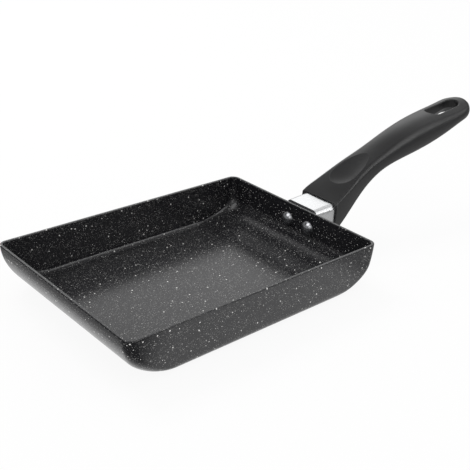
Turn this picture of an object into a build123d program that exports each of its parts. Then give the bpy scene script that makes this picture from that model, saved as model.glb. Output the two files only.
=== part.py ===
from build123d import *
from math import atan, atan2, cos, radians, sin, sqrt, tan
import os

# A small rectangular omelette pan with one long moulded handle.
# X runs along the handle, Z is up, and the origin is on the underside, below the middle of the rim.

os.makedirs("parts", exist_ok=True)

# Pan body, measured over the outside: walls that curve into the floor, with corners that grow rounder
# towards the floor
rim_length = 180.0
rim_width = 130.0
pan_depth = 29.5
wall = 2.0
rim_rounding = 0.5
rim_corner = 5.5
floor_corner = 16.0
corner_power = 2.5
far_draft = 8.2
side_draft = 3.0

# How far each wall's foot runs in over the floor, and how high it starts
far_foot_run = 22.0
far_foot_rise = 25.6
near_foot_run = 31.0
near_foot_rise = 15.2
side_foot_run = 6.0
side_foot_rise = 5.2

# Heights of the pan's sections, in shares of its depth
level_shares = [0, 0.01, 0.035, 0.08, 0.14, 0.21, 0.29, 0.38, 0.47, 0.56, 0.65, 0.74, 0.83, 0.92, 1]

# Rivets
rivet_spacing = 18.2
rivet_height = 17.8
rivet_shank = 5.0
rivet_head = 10.0
rivet_head_rise = 3.2
rivet_tail = 6.2
rivet_tail_rise = 1.8
shank_clearance = 0.04

# Flame guard: a rounded rectangular sleeve, measured at the bracket, that widens towards the grip
guard_width = 27.6
guard_height = 16.4
guard_top = 30.3
guard_corner = 4.2
guard_wall = 0.8
guard_flare = 3.0
guard_overlap = 2.5

# Bracket between the pan and the handle
bracket_width = 27.2
bracket_height = 16.2
bracket_plate = 1.2
bracket_stand = 0.3
bracket_corner = 4.0
boss_width = 10.6
boss_length = 15.0
boss_clearance = 0.3
boss_rounding = 1.5

# Handle grip
grip_gap = 16.0
grip_length = 147.3
grip_width = 32.2
grip_depth = 22.4
grip_base_height = 21.0
grip_rise = 49.2
grip_lip_rounding = 0.5
socket_clearance = 0.15

# Stations along the grip, in shares: place, centre rise, depth, width, then how far out and up each
# corner lies before it is rounded, and the corner's radius as a share of the depth
grip_section_shares = [
    (0.000, 0.000, 1.000, 1.000, 0.975, 0.930, 0.060),
    (0.073, 0.140, 0.929, 0.938, 0.970, 0.905, 0.100),
    (0.141, 0.270, 0.821, 0.857, 0.960, 0.885, 0.160),
    (0.223, 0.413, 0.696, 0.770, 0.940, 0.860, 0.230),
    (0.325, 0.541, 0.634, 0.733, 0.880, 0.810, 0.320),
    (0.460, 0.657, 0.786, 0.770, 0.810, 0.785, 0.360),
    (0.630, 0.764, 0.902, 0.851, 0.780, 0.775, 0.360),
    (0.800, 0.867, 0.757, 0.878, 0.800, 0.700, 0.340),
    (0.906, 0.940, 0.615, 0.850, 0.820, 0.660, 0.310),
]
end_step_shares = [0.40, 0.66, 0.84, 0.94, 0.985]
end_width_power = 2.15
end_depth_power = 3.96

# Thumb scoop on top of the grip
scoop_radius = 46.0
scoop_depth = 1.5
scoop_start = 22.3
scoop_end = 43.3

# Hanging hole through the end of the grip
hang_length = 31.0
hang_width = 11.8
hang_from_end = 23.2
hang_tilt = 13.0
hang_flare = 36.0
hang_top_rounding = 0.8
hang_bottom_rounding = 0.8

# Tie screw with its washers, reached through a pocket in the underside of the grip
screw_thread = 5.0
screw_length = 20.0
screw_head = 9.0
screw_head_rise = 3.4
screw_head_rounding = 1.4
screw_point_chamfer = 0.6
screw_axis_height = 23.7
recess_width = 4.6
recess_slot = 1.1
recess_depth = 1.9
screw_clearance = 0.25
thread_clearance = 0.05
pocket_diameter = 10.4
web = 5.0
flat_washer_od = 9.6
flat_washer_thickness = 1.0
spring_washer_od = 8.6
spring_washer_thickness = 1.3
spring_washer_split = 0.7
washer_bore = 5.4
tapped_depth = 13.0

overrun = 5.0


def foot_inset(height, run, rise):
    """How far a wall has curved in at this height above the floor: a quarter of an ellipse."""
    if height >= rise:
        return 0
    return run * (1 - sqrt(1 - (1 - height / rise) ** 2))


def foot_lean(height, run, rise):
    """Angle between the upright and the foot's curve at this height."""
    if height >= rise:
        return 0
    drop = 1 - height / rise
    return atan(run / rise * drop / sqrt(1 - drop**2))


def tray(inset):
    """The pan's outside shape, or with an inset the room inside it, as one solid block."""
    with BuildPart() as form:
        for level in level_shares:
            height = level * (pan_depth - inset)
            drop = pan_depth - inset - height
            near_x = (
                rim_length / 2
                - inset
                - foot_inset(height, near_foot_run - inset, near_foot_rise - inset)
            )
            far_x = (
                -rim_length / 2
                + inset / cos(radians(far_draft))
                + drop * tan(radians(far_draft))
                + foot_inset(height, far_foot_run - inset, far_foot_rise - inset)
            )
            side_y = (
                rim_width / 2
                - inset / cos(radians(side_draft))
                - drop * tan(radians(side_draft))
                - foot_inset(height, side_foot_run - inset, side_foot_rise - inset)
            )
            corner = rim_corner - inset + (floor_corner - rim_corner) * (1 - level) ** corner_power
            with BuildSketch(Plane.XY.offset(inset + height)):
                with Locations(((near_x + far_x) / 2, 0)):
                    RectangleRounded(near_x - far_x, 2 * side_y, corner)
        loft()
    return form.part


tray_form = tray(0)

# The handle-end wall leans in by this angle where the rivets sit
inner_foot = (rivet_height - wall, near_foot_run - wall, near_foot_rise - wall)
rivet_lean = foot_lean(*inner_foot)
rivet_seat_x = rim_length / 2 - wall - foot_inset(*inner_foot)


def rivet_plane(side):
    """Plane on the wall's inside skin at a rivet, its normal pointing into the pan."""
    return Plane(
        origin=(rivet_seat_x, side * rivet_spacing / 2, rivet_height),
        x_dir=(0, 1, 0),
        z_dir=(-cos(rivet_lean), 0, sin(rivet_lean)),
    )


plate_x = rim_length / 2 + bracket_plate
guard_middle = guard_top - guard_height / 2
rivet_sides = {"rivet_left": 1, "rivet_right": -1}

# Pan body
with BuildPart() as pan_body:
    add(tray_form)
    fillet(pan_body.edges().group_by(Axis.Z)[-1], radius=rim_rounding)
    add(tray(wall), mode=Mode.SUBTRACT)
    rim = pan_body.faces().sort_by(Axis.Z)[-1]
    fillet(rim.inner_wires()[0].edges(), radius=rim_rounding)
    for side in rivet_sides.values():
        with BuildSketch(rivet_plane(side)):
            Circle(rivet_shank / 2 + shank_clearance)
        extrude(amount=wall + overrun, both=True, mode=Mode.SUBTRACT)
pan_body.part.label = "pan_body"
export_step(pan_body.part, "parts/pan_body.step")

# Handle bracket: a cast plate that fits the wall, and a boss tapped for the tie screw
with BuildPart() as handle_bracket:
    with BuildSketch(Plane.YZ.offset(plate_x)):
        with Locations((0, pan_depth + bracket_stand - bracket_height / 2)):
            RectangleRounded(bracket_width, bracket_height, bracket_corner)
    extrude(amount=-(bracket_plate + wall + overrun))
    add(tray_form, mode=Mode.SUBTRACT)
    # The plate stands a little above the rim but doesn't reach over it
    with BuildSketch(Plane.XY.offset(pan_depth)):
        Rectangle(rim_length, rim_width)
    extrude(amount=bracket_stand, mode=Mode.SUBTRACT)
    with BuildSketch(Plane.YZ.offset(plate_x)):
        with Locations((0, guard_middle)):
            RectangleRounded(
                boss_width,
                guard_height - 2 * guard_wall - 2 * boss_clearance,
                boss_rounding,
            )
    extrude(amount=boss_length)
    with BuildSketch(Plane.YZ.offset(plate_x + boss_length)):
        with Locations((0, screw_axis_height)):
            Circle(screw_thread / 2 + thread_clearance)
    extrude(amount=-tapped_depth, mode=Mode.SUBTRACT)
    for side in rivet_sides.values():
        with BuildSketch(rivet_plane(side)):
            Circle(rivet_shank / 2 + shank_clearance)
        extrude(amount=-(wall + bracket_plate + overrun), mode=Mode.SUBTRACT)
handle_bracket.part.label = "handle_bracket"
export_step(handle_bracket.part, "parts/handle_bracket.step")

# Two domed rivets, their tails formed against the bracket
shank_run = wall + bracket_plate + (rim_length / 2 - rivet_seat_x - wall) / cos(rivet_lean)
head_sphere = (rivet_head**2 / 4 + rivet_head_rise**2) / (2 * rivet_head_rise)
for rivet_name, side in rivet_sides.items():
    with BuildPart() as dome:
        with Locations(rivet_plane(side).offset(rivet_head_rise - head_sphere)):
            Sphere(head_sphere)
        split(bisect_by=rivet_plane(side), keep=Keep.TOP)
    with BuildPart() as rivet:
        with BuildSketch(rivet_plane(side)):
            Circle(rivet_shank / 2)
        extrude(amount=-(shank_run + rivet_tail_rise / 2))
        with BuildSketch(rivet_plane(side).offset(-wall / 2)):
            Circle(rivet_head / 2)
        extrude(amount=wall / 2)
        add(dome.part)
        with BuildSketch(Plane.YZ.offset(plate_x - bracket_plate / 2)):
            with Locations((side * rivet_spacing / 2, rivet_height - shank_run * sin(rivet_lean))):
                Circle(rivet_tail / 2)
        extrude(amount=bracket_plate / 2 + rivet_tail_rise)
        add(pan_body.part, mode=Mode.SUBTRACT)
        add(handle_bracket.part, mode=Mode.SUBTRACT)
    rivet.part.label = rivet_name
    export_step(rivet.part, "parts/" + rivet_name + ".step")

# Flame guard
guard_length = grip_gap + guard_overlap
with BuildPart() as flame_guard:
    for inset, mode in ((0, Mode.ADD), (guard_wall, Mode.SUBTRACT)):
        with BuildSketch(Plane.YZ.offset(plate_x)):
            with Locations((0, guard_middle)):
                RectangleRounded(
                    guard_width - 2 * inset,
                    guard_height - 2 * inset,
                    guard_corner - inset,
                )
        extrude(amount=guard_length, taper=-guard_flare, mode=mode)
flame_guard.part.label = "flame_guard"
export_step(flame_guard.part, "parts/flame_guard.step")

# Handle grip, lofted through its stations and closed by an elliptical end
grip_x = plate_x + grip_gap
guard_end_x = plate_x + guard_length
socket_growth = guard_length * tan(radians(guard_flare)) + socket_clearance
seat_x = guard_end_x + web


def grip_stations():
    """Place, centre height, depth, width and corner of each section."""
    stations = [
        (
            place * grip_length,
            grip_base_height + rise * grip_rise,
            depth * grip_depth,
            width * grip_width,
            corner,
        )
        for place, rise, depth, width, *corner in grip_section_shares
    ]
    last_place, last_height, last_depth, last_width, last_corner = stations[-1]
    end_height = grip_base_height + grip_rise
    for step in end_step_shares:
        stations.append(
            (
                last_place + step * (grip_length - last_place),
                last_height + step * (end_height - last_height),
                last_depth * (1 - step**end_depth_power) ** (1 / end_depth_power),
                last_width * (1 - step**end_width_power) ** (1 / end_width_power),
                last_corner,
            )
        )
    return stations


def grip_height(distance, side):
    """Height of the grip's back (1), middle (0) or belly (-1) at a distance from its front."""
    rows = [(place, height + side * depth / 2) for place, height, depth, *_ in grip_stations()]
    for (near_place, near_height), (far_place, far_height) in zip(rows, rows[1:]):
        if near_place <= distance <= far_place:
            share = (distance - near_place) / (far_place - near_place)
            return near_height + share * (far_height - near_height)


# Thumb scoop: a round-nosed cutter that runs out of the grip's back where the scoop ends
scoop_floor = grip_height(scoop_start, 1) - scoop_depth
scoop_slope = atan2(grip_height(scoop_end, 1) - scoop_floor, scoop_end - scoop_start)
scoop_plane = Plane(
    origin=(
        grip_x + scoop_start - scoop_radius * sin(scoop_slope),
        0,
        scoop_floor + scoop_radius * cos(scoop_slope),
    ),
    x_dir=(0, 1, 0),
    z_dir=(cos(scoop_slope), 0, sin(scoop_slope)),
)
with BuildPart() as scoop:
    with BuildSketch(scoop_plane):
        Circle(scoop_radius)
    extrude(amount=2 * (scoop_end - scoop_start))
    with Locations(scoop_plane):
        Sphere(scoop_radius)

hang_plane = Plane(
    origin=(
        grip_x + grip_length - hang_from_end,
        0,
        grip_height(grip_length - hang_from_end, 0),
    ),
    x_dir=(cos(radians(hang_tilt)), 0, sin(radians(hang_tilt))),
    z_dir=(-sin(radians(hang_tilt)), 0, cos(radians(hang_tilt))),
)

with BuildPart() as grip:
    # Each section has four crowned sides and four round corners
    for place, height, depth, width, (corner_out, corner_up, corner_share) in grip_stations():
        out = width / 2 * corner_out
        up = depth / 2 * corner_up
        with BuildSketch(Plane.YZ.offset(grip_x + place)) as section:
            with BuildLine():
                ThreePointArc((out, height - up), (width / 2, height), (out, height + up))
                ThreePointArc((out, height + up), (0, height + depth / 2), (-out, height + up))
                ThreePointArc((-out, height + up), (-width / 2, height), (-out, height - up))
                ThreePointArc((-out, height - up), (0, height - depth / 2), (out, height - up))
            make_face()
            fillet(section.vertices(), radius=min(depth, width) * corner_share)
    loft()
    fillet(grip.faces().sort_by(Axis.X)[0].edges(), radius=grip_lip_rounding)
    add(scoop.part, mode=Mode.SUBTRACT)
    # Hanging hole: straight down to the middle of the grip, then wider towards the belly
    for amount, flare, rounding in (
        (grip_depth, 0, hang_top_rounding),
        (-grip_depth, -hang_flare, hang_bottom_rounding),
    ):
        with BuildSketch(hang_plane):
            SlotOverall(hang_length, hang_width)
        extrude(amount=amount, taper=flare, mode=Mode.SUBTRACT)
        mouth = [
            edge
            for edge in grip.edges(Select.LAST)
            if abs((edge % 0.5).dot(hang_plane.z_dir)) < sin(radians(45))
            and abs(hang_plane.to_local_coords(edge.center()).Z) > rounding
        ]
        fillet(mouth, radius=rounding)
    # Socket for the wide end of the flame guard
    with BuildSketch(Plane.YZ.offset(grip_x)):
        with Locations((0, guard_middle)):
            RectangleRounded(
                guard_width + 2 * socket_growth,
                guard_height + 2 * socket_growth,
                guard_corner + socket_growth,
            )
    extrude(amount=guard_overlap, mode=Mode.SUBTRACT)
    # Screw hole through the web, and the pocket that opens in the grip's belly
    with BuildSketch(Plane.YZ.offset(guard_end_x)):
        with Locations((0, screw_axis_height)):
            Circle(screw_thread / 2 + screw_clearance)
    extrude(amount=web, mode=Mode.SUBTRACT)
    with BuildSketch(Plane.YZ.offset(seat_x)):
        with Locations((0, screw_axis_height)):
            Circle(pocket_diameter / 2)
    extrude(amount=grip_length, mode=Mode.SUBTRACT)
grip.part.label = "grip"
export_step(grip.part, "parts/grip.step")

# Flat washer on the pocket's floor
with BuildPart() as flat_washer:
    with BuildSketch(Plane.YZ.offset(seat_x)):
        with Locations((0, screw_axis_height)):
            Circle(flat_washer_od / 2)
            Circle(washer_bore / 2, mode=Mode.SUBTRACT)
    extrude(amount=flat_washer_thickness)
flat_washer.part.label = "flat_washer"
export_step(flat_washer.part, "parts/flat_washer.step")

# Spring washer with its split
spring_washer_x = seat_x + flat_washer_thickness
with BuildPart() as spring_washer:
    with BuildSketch(Plane.YZ.offset(spring_washer_x)):
        with Locations((0, screw_axis_height)):
            Circle(spring_washer_od / 2)
            Circle(washer_bore / 2, mode=Mode.SUBTRACT)
        with Locations((0, screw_axis_height + spring_washer_od / 2)):
            Rectangle(spring_washer_split, spring_washer_od, mode=Mode.SUBTRACT)
    extrude(amount=spring_washer_thickness)
spring_washer.part.label = "spring_washer"
export_step(spring_washer.part, "parts/spring_washer.step")

# Tie screw with a cross recess, its head on the spring washer
screw_seat_x = spring_washer_x + spring_washer_thickness
with BuildPart() as tie_screw:
    with BuildSketch(Plane.YZ.offset(screw_seat_x)):
        with Locations((0, screw_axis_height)):
            Circle(screw_thread / 2)
    extrude(amount=-screw_length)
    chamfer(tie_screw.edges().sort_by(Axis.X)[0], length=screw_point_chamfer)
    with BuildSketch(Plane.YZ.offset(screw_seat_x)):
        with Locations((0, screw_axis_height)):
            Circle(screw_head / 2)
    extrude(amount=screw_head_rise)
    fillet(tie_screw.edges().sort_by(Axis.X)[-1], radius=screw_head_rounding)
    with BuildSketch(Plane.YZ.offset(screw_seat_x + screw_head_rise)):
        with Locations((0, screw_axis_height)):
            Rectangle(recess_width, recess_slot)
            Rectangle(recess_slot, recess_width)
    extrude(amount=-recess_depth, mode=Mode.SUBTRACT)
tie_screw.part.label = "tie_screw"
export_step(tie_screw.part, "parts/tie_screw.step")
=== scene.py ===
# Small rectangular omelette pan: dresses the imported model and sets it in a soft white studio
import math
import bpy
from mathutils import Matrix, Vector

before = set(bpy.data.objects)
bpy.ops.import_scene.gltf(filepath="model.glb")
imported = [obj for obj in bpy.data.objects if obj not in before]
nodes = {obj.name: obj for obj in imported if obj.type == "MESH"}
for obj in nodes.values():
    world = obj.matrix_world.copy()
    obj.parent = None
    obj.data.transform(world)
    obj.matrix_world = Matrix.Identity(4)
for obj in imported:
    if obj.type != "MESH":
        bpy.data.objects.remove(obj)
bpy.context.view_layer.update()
print("frame loaded:", sorted(nodes))

mm = 0.001


# turns an sRGB hex colour into the linear colour that the shaders take
def linearColour(hexText, alpha=1.0):
    channels = [int(hexText[i:i + 2], 16) / 255 for i in (1, 3, 5)]
    linear = [c / 12.92 if c <= 0.04045 else ((c + 0.055) / 1.055) ** 2.4 for c in channels]
    return (*linear, alpha)


# adds one node, sets its settings, and fills its inputs with values or with other nodes' outputs
def addNode(tree, kind, settings=None, inputs=None):
    node = tree.nodes.new(kind)
    for name, value in (settings or {}).items():
        setattr(node, name, value)
    for socket, value in (inputs or {}).items():
        if isinstance(value, bpy.types.NodeSocket):
            tree.links.new(value, node.inputs[socket])
        else:
            node.inputs[socket].default_value = value
    return node


# a new material's tree, emptied but for its output
def newMaterial(name):
    material = bpy.data.materials.new(name)
    material.use_nodes = True
    tree = material.node_tree
    tree.nodes.clear()
    output = tree.nodes.new("ShaderNodeOutputMaterial")
    return material, tree, output


# Camera: a short telephoto that looks down over the corner of the pan away from the handle
camera = {
    "imageSize": 470,        # the photograph's frame in pixels
    "focalLength": 848.4,    # in pixels of that frame
    "sensorWidth": 36.0,
    "azimuth": -42.59,
    "elevation": 26.01,
    "roll": 3.11,
    "distance": 0.5379,
    "target": (0.04778, 0.01511, 0.0150),
    "nearClip": 0.01,
    "farClip": 20.0,
}


def placeCamera():
    data = bpy.data.cameras.new("camera")
    data.lens = camera["focalLength"] / camera["imageSize"] * camera["sensorWidth"]
    data.sensor_width = camera["sensorWidth"]
    data.clip_start = camera["nearClip"]
    data.clip_end = camera["farClip"]
    rig = bpy.data.objects.new("camera", data)
    bpy.context.scene.collection.objects.link(rig)
    azimuth, elevation, roll = (math.radians(camera[key]) for key in ("azimuth", "elevation", "roll"))
    back = Vector((
        math.sin(azimuth) * math.cos(elevation),
        -math.cos(azimuth) * math.cos(elevation),
        math.sin(elevation),
    ))
    right = Vector((0, 0, 1)).cross(back).normalized()
    up = back.cross(right)
    rolledRight = math.cos(roll) * right + math.sin(roll) * up
    rolledUp = math.cos(roll) * up - math.sin(roll) * right
    place = Vector(camera["target"]) + back * camera["distance"]
    turn = Matrix((rolledRight, rolledUp, back)).transposed().to_4x4()
    rig.matrix_world = Matrix.Translation(place) @ turn
    bpy.context.scene.camera = rig


placeCamera()
print("camera placed")

# Studio: white paper underfoot, even daylight, and panels and flags that only gloss picks up
studio = {
    "floorSize": 6.0,
    "floorDrop": 0.2 * mm,      # just clear of the underside of the pan
    "floorColour": "#f2f2f2",
    "floorGlow": 0.92,          # share of plain white in the paper as seen; the rest takes the shadow
    "daylight": 0.85,           # strength of the surround as light on matt surfaces
    "roomGloss": 0.3,           # how bright the room between the panels looks in gloss
    "boxSize": 0.6,
    "boxPower": 7.0,
    "boxPlace": (-0.10, 0.93, 1.17),
    "boxAim": (0.05, 0.0, 0.0),
}

# each panel lies in one direction, is full within one angle of it and fades out at another, in degrees;
# a flag's strength is below zero, because it takes away what the room gives
panels = {
    "lit backdrop": {"towards": (0.60, 0.65, 0.47), "full": 6, "end": 26, "strength": 1.05},
    "high strip": {"towards": (-0.07, 0.62, 0.78), "full": 2, "end": 8, "strength": 0.85},
    "low strip": {"towards": (0.49, -0.71, 0.51), "full": 3, "end": 9, "strength": 4.6},
    "top strip": {"towards": (0.60, 0.12, 0.78), "full": 3, "end": 14, "strength": 0.7},
    "side card": {"towards": (0.60, -0.42, 0.66), "full": 8, "end": 20, "strength": 0.9},
    "ridge card": {"towards": (0.15, -0.62, 0.77), "full": 7, "end": 18, "strength": 2.2},
    "rivet box": {"towards": (-0.50, 0.10, 0.86), "full": 15, "end": 21, "strength": 2.4},
    "low backdrop": {"towards": (0.29, 0.91, 0.30), "full": 8, "end": 22, "strength": 0.6},
    "black flag": {"towards": (-0.42, 0.62, 0.66), "full": 8, "end": 18, "strength": -0.3},
    "narrow flag": {"towards": (0.33, 0.66, 0.68), "full": 6, "end": 14, "strength": -0.35},
    "front card": {"towards": (-0.60, -0.54, 0.60), "full": 6, "end": 18, "strength": 1.4},
}

# painted shade on the paper, which only gloss sees: each zone begins at a distance from the middle of
# the pan, measured one way, and hides a share of the white from its end on
glossShadeZones = {
    "far end": {"towards": (-1, 0, 0), "begin": 0.088, "end": 0.106, "depth": 0.82},
    "far corner": {"towards": (-0.707, -0.707, 0), "begin": 0.094, "end": 0.112, "depth": 0.88},
    "handle side": {"towards": (0.95, -0.31, 0), "begin": 0.100, "end": 0.128, "depth": 0.55},
}


def panelLight(tree, ray, panel):
    towards = Vector(panel["towards"]).normalized()
    facing = addNode(tree, "ShaderNodeVectorMath", {"operation": "DOT_PRODUCT"}, {0: ray, 1: towards})
    shape = addNode(tree, "ShaderNodeMapRange", {"interpolation_type": "SMOOTHSTEP"}, {
        "Value": facing.outputs["Value"],
        "From Min": math.cos(math.radians(panel["end"])),
        "From Max": math.cos(math.radians(panel["full"])),
        "To Min": 0.0,
        "To Max": panel["strength"],
    })
    return shape.outputs[0]


def buildWorld():
    world = bpy.data.worlds.new("studio surround")
    bpy.context.scene.world = world
    world.cycles.sampling_method = "NONE"
    world.use_nodes = True
    tree = world.node_tree
    tree.nodes.clear()
    ray = addNode(tree, "ShaderNodeTexCoord")
    gloss = studio["roomGloss"]
    for panel in panels.values():
        shape = panelLight(tree, ray.outputs["Generated"], panel)
        gloss = addNode(tree, "ShaderNodeMath", {"operation": "ADD"}, {0: gloss, 1: shape}).outputs[0]
    # overlapping flags stop at black
    gloss = addNode(tree, "ShaderNodeMath", {"operation": "MAXIMUM"}, {0: gloss, 1: 0.0}).outputs[0]
    rays = addNode(tree, "ShaderNodeLightPath")
    strength = addNode(tree, "ShaderNodeMix", {"data_type": "FLOAT"}, {
        0: rays.outputs["Is Glossy Ray"], 2: studio["daylight"], 3: gloss,
    })
    white = linearColour("#ffffff")
    room = addNode(tree, "ShaderNodeBackground", inputs={"Color": white, "Strength": strength.outputs[0]})
    plain = addNode(tree, "ShaderNodeBackground", inputs={"Color": white, "Strength": 1.0})
    seen = addNode(tree, "ShaderNodeMixShader", inputs={
        0: rays.outputs["Is Camera Ray"], 1: room.outputs[0], 2: plain.outputs[0],
    })
    addNode(tree, "ShaderNodeOutputWorld", inputs={"Surface": seen.outputs[0]})


# what is left of the paper's white in gloss under the painted shade of the zones
def paintedGlossShade(tree):
    where = addNode(tree, "ShaderNodeTexCoord")
    deepest = 0.0
    for card in glossShadeZones.values():
        out = addNode(tree, "ShaderNodeVectorMath", {"operation": "DOT_PRODUCT"}, {
            0: where.outputs["Object"], 1: card["towards"],
        })
        cover = addNode(tree, "ShaderNodeMapRange", {"interpolation_type": "SMOOTHSTEP"}, {
            "Value": out.outputs["Value"],
            "From Min": card["begin"], "From Max": card["end"], "To Min": 0.0, "To Max": card["depth"],
        })
        deepest = addNode(tree, "ShaderNodeMath", {"operation": "MAXIMUM"}, {
            0: deepest, 1: cover.outputs[0],
        }).outputs[0]
    return addNode(tree, "ShaderNodeMath", {"operation": "SUBTRACT"}, {0: 1.0, 1: deepest}).outputs[0]


def buildFloor():
    mesh = bpy.data.meshes.new("floor")
    half = studio["floorSize"] / 2
    drop = -studio["floorDrop"]
    corners = [(-half, -half, drop), (half, -half, drop), (half, half, drop), (-half, half, drop)]
    mesh.from_pydata(corners, [], [(0, 1, 2, 3)])
    floor = bpy.data.objects.new("floor", mesh)
    bpy.context.scene.collection.objects.link(floor)
    material, tree, output = newMaterial("matt white paper")
    material.cycles.emission_sampling = "NONE"
    paper = addNode(tree, "ShaderNodeBsdfDiffuse", inputs={"Color": linearColour(studio["floorColour"])})
    rays = addNode(tree, "ShaderNodeLightPath")
    # gloss sees the paper's white with the painted shade; the camera and matt rays see it even
    white = addNode(tree, "ShaderNodeMix", {"data_type": "FLOAT"}, {
        0: rays.outputs["Is Glossy Ray"], 2: 1.0, 3: paintedGlossShade(tree),
    })
    plain = addNode(tree, "ShaderNodeEmission", inputs={
        "Color": linearColour("#ffffff"), "Strength": white.outputs[0],
    })
    faint = addNode(tree, "ShaderNodeMath", {"operation": "MULTIPLY"}, {
        0: rays.outputs["Is Camera Ray"], 1: studio["floorGlow"],
    })
    share = addNode(tree, "ShaderNodeMath", {"operation": "MAXIMUM"}, {
        0: faint.outputs[0], 1: rays.outputs["Is Glossy Ray"],
    })
    seen = addNode(tree, "ShaderNodeMixShader", inputs={
        0: share.outputs[0], 1: paper.outputs[0], 2: plain.outputs[0],
    })
    # from below the paper is clear, so the underside of the pan can be looked at
    side = addNode(tree, "ShaderNodeNewGeometry")
    clear = addNode(tree, "ShaderNodeBsdfTransparent")
    sheet = addNode(tree, "ShaderNodeMixShader", inputs={
        0: side.outputs["Backfacing"], 1: seen.outputs[0], 2: clear.outputs[0],
    })
    tree.links.new(sheet.outputs[0], output.inputs["Surface"])
    mesh.materials.append(material)


def buildStudio():
    bpy.context.scene.view_settings.view_transform = "Standard"
    buildWorld()
    buildFloor()
    lamp = bpy.data.lights.new("soft box", "AREA")
    lamp.shape = "SQUARE"
    lamp.size = studio["boxSize"]
    lamp.energy = studio["boxPower"]
    rig = bpy.data.objects.new("soft box", lamp)
    bpy.context.scene.collection.objects.link(rig)
    rig.visible_glossy = False      # the panels stand for it in gloss
    rig.location = studio["boxPlace"]
    rig.rotation_mode = "QUATERNION"
    away = rig.location - Vector(studio["boxAim"])
    rig.rotation_quaternion = away.to_track_quat("Z", "Y")


buildStudio()
print("studio built")

# PTFE non-stick coat, sprayed in layers with pale mineral flakes between them and cured: a satin black
# that mirrors light as a soft glow, freckled all over with dim specks and here and there a bright one
coat = {
    "blackColour": "#19191c",
    "flakeColour": "#f8f7f4",
    "roughness": 0.22,
    "ior": 1.5,
    "raggedSize": 0.5 * mm,     # how the flakes' outlines wander
    "raggedShift": 0.35 * mm,
    "raggedDetail": 2.0,
    "peelSize": 1.3 * mm,       # ripple of the sprayed film
    "peelDepth": 0.012 * mm,
    "peelDetail": 3.0,
}

# flake grades: each random cell draws a lot from 0 to 1, and stays bare under "none" or holds a flake that
# grows until "full"; "reach" and the width "soft" of its edge are shares of the cell, and a second lot
# sets how pale it is. The real dust is finer than a tenth of a millimetre: drawn coarser here, to show
flakeGrades = {
    "dust": {
        "cell": 0.55 * mm, "reach": 0.38, "none": 0.0, "full": 0.8,
        "soft": 0.1, "dimmest": 0.03, "palest": 0.42,
    },
    "grain": {
        "cell": 1.45 * mm, "reach": 0.175, "none": 0.35, "full": 0.75,
        "soft": 0.03, "dimmest": 0.2, "palest": 1.0,
    },
    "chip": {
        "cell": 3.8 * mm, "reach": 0.125, "none": 0.3, "full": 0.6,
        "soft": 0.015, "dimmest": 0.8, "palest": 1.0,
    },
}


# a mask of irregular flecks of one grade
def flecks(tree, place, grade):
    cells = addNode(tree, "ShaderNodeTexVoronoi", {"voronoi_dimensions": "3D", "feature": "F1"}, {
        "Vector": place, "Scale": 1 / grade["cell"],
    })
    chance = addNode(tree, "ShaderNodeSeparateColor", inputs={"Color": cells.outputs["Color"]})
    reach = addNode(tree, "ShaderNodeMapRange", {"clamp": True}, {
        "Value": chance.outputs["Red"],
        "From Min": grade["none"], "From Max": grade["full"], "To Min": 0.0, "To Max": grade["reach"],
    })
    inside = addNode(tree, "ShaderNodeMath", {"operation": "SUBTRACT"}, {
        0: reach.outputs[0], 1: cells.outputs["Distance"],
    })
    edge = addNode(tree, "ShaderNodeMapRange", {"clamp": True}, {
        "Value": inside.outputs[0],
        "From Min": 0.0, "From Max": grade["soft"], "To Min": 0.0, "To Max": 1.0,
    })
    tone = addNode(tree, "ShaderNodeMapRange", {"clamp": True}, {
        "Value": chance.outputs["Green"],
        "From Min": 0.0, "From Max": 1.0, "To Min": grade["dimmest"], "To Max": grade["palest"],
    })
    return addNode(tree, "ShaderNodeMath", {"operation": "MULTIPLY"}, {
        0: edge.outputs[0], 1: tone.outputs[0],
    })


def flakedCoat():
    material, tree, output = newMaterial("flaked PTFE coat, sprayed")
    where = addNode(tree, "ShaderNodeTexCoord")
    ragged = addNode(tree, "ShaderNodeTexNoise", inputs={
        "Vector": where.outputs["Object"], "Scale": 1 / coat["raggedSize"], "Detail": coat["raggedDetail"],
    })
    shift = addNode(tree, "ShaderNodeVectorMath", {"operation": "MULTIPLY_ADD"}, {
        0: ragged.outputs["Color"], 1: (coat["raggedShift"],) * 3, 2: where.outputs["Object"],
    })
    flake = 0.0
    for grade in flakeGrades.values():
        mask = flecks(tree, shift.outputs[0], grade)
        flake = addNode(tree, "ShaderNodeMath", {"operation": "MAXIMUM"}, {
            0: flake, 1: mask.outputs[0],
        }).outputs[0]
    colour = addNode(tree, "ShaderNodeMix", {"data_type": "RGBA"}, {
        "Factor": flake, "A": linearColour(coat["blackColour"]), "B": linearColour(coat["flakeColour"]),
    })
    peel = addNode(tree, "ShaderNodeTexNoise", inputs={
        "Vector": where.outputs["Object"], "Scale": 1 / coat["peelSize"], "Detail": coat["peelDetail"],
    })
    bump = addNode(tree, "ShaderNodeBump", inputs={
        "Height": peel.outputs[0], "Distance": coat["peelDepth"], "Strength": 1.0,
    })
    skin = addNode(tree, "ShaderNodeBsdfPrincipled", inputs={
        "Base Color": colour.outputs["Result"],
        "Roughness": coat["roughness"],
        "IOR": coat["ior"],
        "Normal": bump.outputs[0],
    })
    tree.links.new(skin.outputs[0], output.inputs["Surface"])
    return material


# Bare aluminium of the rivets: cold headed, so a soft satin that draws a highlight out over each dome
rivetMetal = {
    "colour": "#b0b1b4",
    "roughness": 0.24,
    "markSize": 0.25 * mm,
    "markDepth": 0.003 * mm,
    "stretch": (1, 1, 1),
}

# Aluminium of the guard, drawn lengthwise and polished: near white, with faint streaks along the handle
guardMetal = {
    "colour": "#e4e5e6",
    "roughness": 0.27,
    "markSize": 0.3 * mm,
    "markDepth": 0.0004 * mm,
    "stretch": (0.05, 1, 1),
}

# Die-cast aluminium of the bracket, dull and coloured dark grey
castMetal = {
    "colour": "#48484a",
    "roughness": 0.5,
    "markSize": 0.6 * mm,
    "markDepth": 0.01 * mm,
    "stretch": (1, 1, 1),
}

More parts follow.
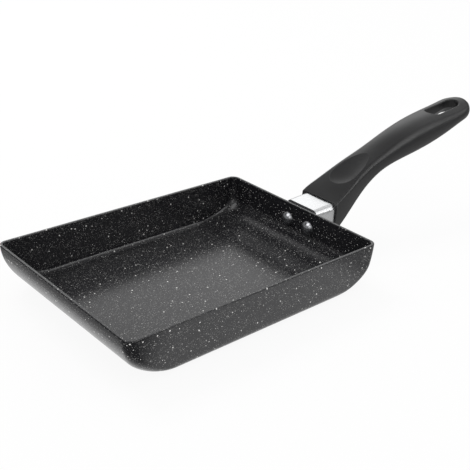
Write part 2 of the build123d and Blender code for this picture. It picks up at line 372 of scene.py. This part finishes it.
# Zinc-plated steel of the screw and washers: a cool grey with a little bloom
zincMetal = {
    "colour": "#b9bbbf",
    "roughness": 0.3,
    "markSize": 0.4 * mm,
    "markDepth": 0.003 * mm,
    "stretch": (1, 1, 1),
}

# the marks are alike on all the metals, and vary the roughness between these shares of it
metalMarks = {
    "detail": 3.0,
    "smoothest": 0.8,
    "roughest": 1.25,
}


def bareMetal(name, metal):
    material, tree, output = newMaterial(name)
    where = addNode(tree, "ShaderNodeTexCoord")
    marks = addNode(tree, "ShaderNodeMapping", inputs={
        "Vector": where.outputs["Object"], "Scale": metal["stretch"],
    })
    grain = addNode(tree, "ShaderNodeTexNoise", inputs={
        "Vector": marks.outputs[0], "Scale": 1 / metal["markSize"], "Detail": metalMarks["detail"],
    })
    rough = addNode(tree, "ShaderNodeMapRange", inputs={
        "Value": grain.outputs[0],
        "To Min": metal["roughness"] * metalMarks["smoothest"],
        "To Max": metal["roughness"] * metalMarks["roughest"],
    })
    bump = addNode(tree, "ShaderNodeBump", inputs={
        "Height": grain.outputs[0], "Distance": metal["markDepth"], "Strength": 1.0,
    })
    skin = addNode(tree, "ShaderNodeBsdfPrincipled", inputs={
        "Base Color": linearColour(metal["colour"]),
        "Metallic": 1.0,
        "Roughness": rough.outputs[0],
        "Normal": bump.outputs[0],
    })
    tree.links.new(skin.outputs[0], output.inputs["Surface"])
    return material


# Phenolic resin of the grip, compression moulded and buffed: an even satin black with a faint mould
# texture, a painted highlight that makes its edges a little paler, and painted shade that dulls its
# hollows
resin = {
    "colour": "#161617",
    "paintedEdgeColour": "#4c4c4e",
    "roughness": 0.38,
    "ior": 1.58,
    "grainSize": 0.35 * mm,
    "grainDepth": 0.006 * mm,
    "grainDetail": 3.0,
    "cloudSize": 9 * mm,        # slow change of the satin from place to place
    "cloudDetail": 2.0,
    "smoothest": 0.88,          # shares of the roughness that the cloud varies between
    "roughest": 1.12,
    "hollowSize": 12 * mm,      # walls within this reach make a hollow, which gets painted shade
    "hollowDark": 0.35,         # share of open sky at which a hollow is at its dullest
    "hollowLight": 0.75,        # and from which the surface has its full sheen
    "paintedShadeSheen": 0.12,
    "fullSheen": 0.5,
    "edgeRadius": 0.45 * mm,
    "edgeTurn": 0.012,          # how far a rounded edge's direction departs before its painted highlight is full
    "feelers": 8,               # rays that find the edges and the hollows
}


def mouldedResin():
    material, tree, output = newMaterial("phenolic resin, moulded")
    where = addNode(tree, "ShaderNodeTexCoord")
    grain = addNode(tree, "ShaderNodeTexNoise", inputs={
        "Vector": where.outputs["Object"], "Scale": 1 / resin["grainSize"], "Detail": resin["grainDetail"],
    })
    cloud = addNode(tree, "ShaderNodeTexNoise", inputs={
        "Vector": where.outputs["Object"], "Scale": 1 / resin["cloudSize"], "Detail": resin["cloudDetail"],
    })
    rough = addNode(tree, "ShaderNodeMapRange", inputs={
        "Value": cloud.outputs[0],
        "To Min": resin["roughness"] * resin["smoothest"],
        "To Max": resin["roughness"] * resin["roughest"],
    })
    feelers = {"samples": resin["feelers"]}
    rounded = addNode(tree, "ShaderNodeBevel", feelers, {"Radius": resin["edgeRadius"]})
    surface = addNode(tree, "ShaderNodeNewGeometry")
    agree = addNode(tree, "ShaderNodeVectorMath", {"operation": "DOT_PRODUCT"}, {
        0: rounded.outputs[0], 1: surface.outputs["Normal"],
    })
    # painted highlight: where the rounded edge's direction departs from the surface's, the colour turns
    # paler
    paintedEdgeHighlight = addNode(tree, "ShaderNodeMapRange", {"clamp": True}, {
        "Value": agree.outputs["Value"],
        "From Min": 1 - resin["edgeTurn"], "From Max": 1.0, "To Min": 1.0, "To Max": 0.0,
    })
    # painted shade: where the AO finds walls close by, the specular level drops, so the hollows look
    # darker
    openness = addNode(tree, "ShaderNodeAmbientOcclusion", feelers, {"Distance": resin["hollowSize"]})
    sheen = addNode(tree, "ShaderNodeMapRange", {"clamp": True}, {
        "Value": openness.outputs["AO"],
        "From Min": resin["hollowDark"], "From Max": resin["hollowLight"],
        "To Min": resin["paintedShadeSheen"], "To Max": resin["fullSheen"],
    })
    colour = addNode(tree, "ShaderNodeMix", {"data_type": "RGBA"}, {
        "Factor": paintedEdgeHighlight.outputs[0],
        "A": linearColour(resin["colour"]),
        "B": linearColour(resin["paintedEdgeColour"]),
    })
    bump = addNode(tree, "ShaderNodeBump", inputs={
        "Height": grain.outputs[0],
        "Distance": resin["grainDepth"],
        "Strength": 1.0,
        "Normal": rounded.outputs[0],
    })
    skin = addNode(tree, "ShaderNodeBsdfPrincipled", inputs={
        "Base Color": colour.outputs["Result"],
        "Roughness": rough.outputs[0],
        "IOR": resin["ior"],
        "Specular IOR Level": sheen.outputs[0],
        "Normal": bump.outputs[0],
    })
    tree.links.new(skin.outputs[0], output.inputs["Surface"])
    return material


def dress(name, material):
    mesh = nodes[name].data
    mesh.materials.clear()
    mesh.materials.append(material)


zincSkin = bareMetal("steel, zinc plated", zincMetal)
rivetSkin = bareMetal("aluminium rivet wire, cold headed", rivetMetal)
dress("pan_body", flakedCoat())
dress("rivet_left", rivetSkin)
dress("rivet_right", rivetSkin)
dress("flame_guard", bareMetal("aluminium tube, drawn and polished", guardMetal))
dress("handle_bracket", bareMetal("aluminium, die cast", castMetal))
dress("grip", mouldedResin())
for fastener in ("tie_screw", "flat_washer", "spring_washer"):
    dress(fastener, zincSkin)
print("materials made")
